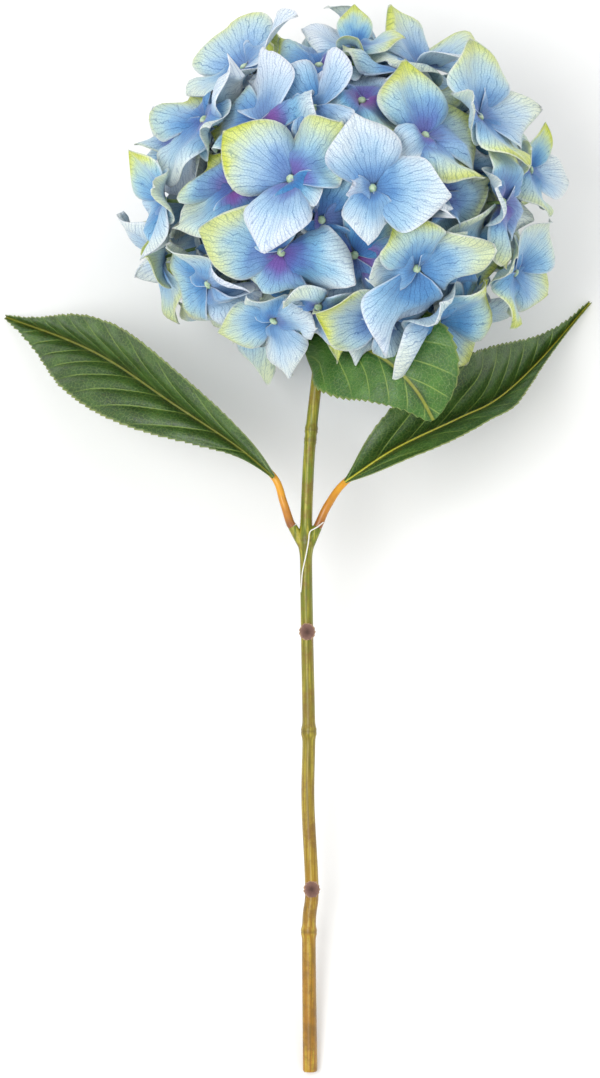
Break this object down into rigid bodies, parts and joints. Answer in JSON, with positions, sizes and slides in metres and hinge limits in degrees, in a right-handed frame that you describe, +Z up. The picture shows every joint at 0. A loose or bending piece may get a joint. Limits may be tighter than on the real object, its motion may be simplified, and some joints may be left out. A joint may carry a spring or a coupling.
{
  "type": "hydrangea stem",
  "caption": "Cut hydrangea stem lying on a surface: round blue, lilac and lime flower head on a woody stem with serrated leaves.",
  "frame": {"origin": "middle of the underside of the box of the lying plant, on the surface it lies on", "axes": "+Y along the plant from the cut end of the stem to the top of the head, +X to the right seen from above, +Z up"},
  "size_m": [0.2766, 0.4868, 0.1821],
  "materials": {
    "petal": "soft matte, shaded violet to blue to lime",
    "leaf": "waxy, pleated, greyish sheen",
    "leaf_stalk": "smooth satin orange",
    "stem": "satin, green above to ochre brown below",
    "branch": "satin green",
    "thread": "fine twisted white yarn"
  },
  "bodies": {
    "root": {"flower_stem": "stem", "flower_branches": "branch", "left_leaf_blade": "leaf", "right_leaf_blade": "leaf", "front_leaf_blade": "leaf", "left_leaf_stalk": "leaf_stalk", "right_leaf_stalk": "leaf_stalk", "front_leaf_stalk": "leaf_stalk", "tie_thread": "thread", "floret_01": "petal", "floret_02": "petal", "floret_03": "petal", "floret_04": "petal", "floret_05": "petal", "floret_06": "petal", "floret_07": "petal", "floret_08": "petal", "floret_09": "petal", "floret_10": "petal", "floret_11": "petal", "floret_12": "petal", "floret_13": "petal", "floret_14": "petal", "floret_15": "petal", "floret_16": "petal", "floret_17": "petal", "floret_18": "petal", "floret_19": "petal", "floret_20": "petal", "floret_21": "petal", "floret_22": "petal", "floret_23": "petal", "floret_24": "petal", "floret_25": "petal", "floret_26": "petal", "floret_27": "petal", "floret_28": "petal", "floret_29": "petal", "floret_30": "petal", "floret_31": "petal", "floret_32": "petal", "floret_33": "petal", "floret_34": "petal", "floret_35": "petal", "floret_36": "petal", "floret_37": "petal", "floret_38": "petal", "floret_39": "petal", "floret_40": "petal", "floret_41": "petal", "floret_42": "petal", "floret_43": "petal", "floret_44": "petal", "floret_45": "petal", "floret_46": "petal", "floret_47": "petal", "floret_48": "petal", "floret_49": "petal"}
  },
  "joints": []
}
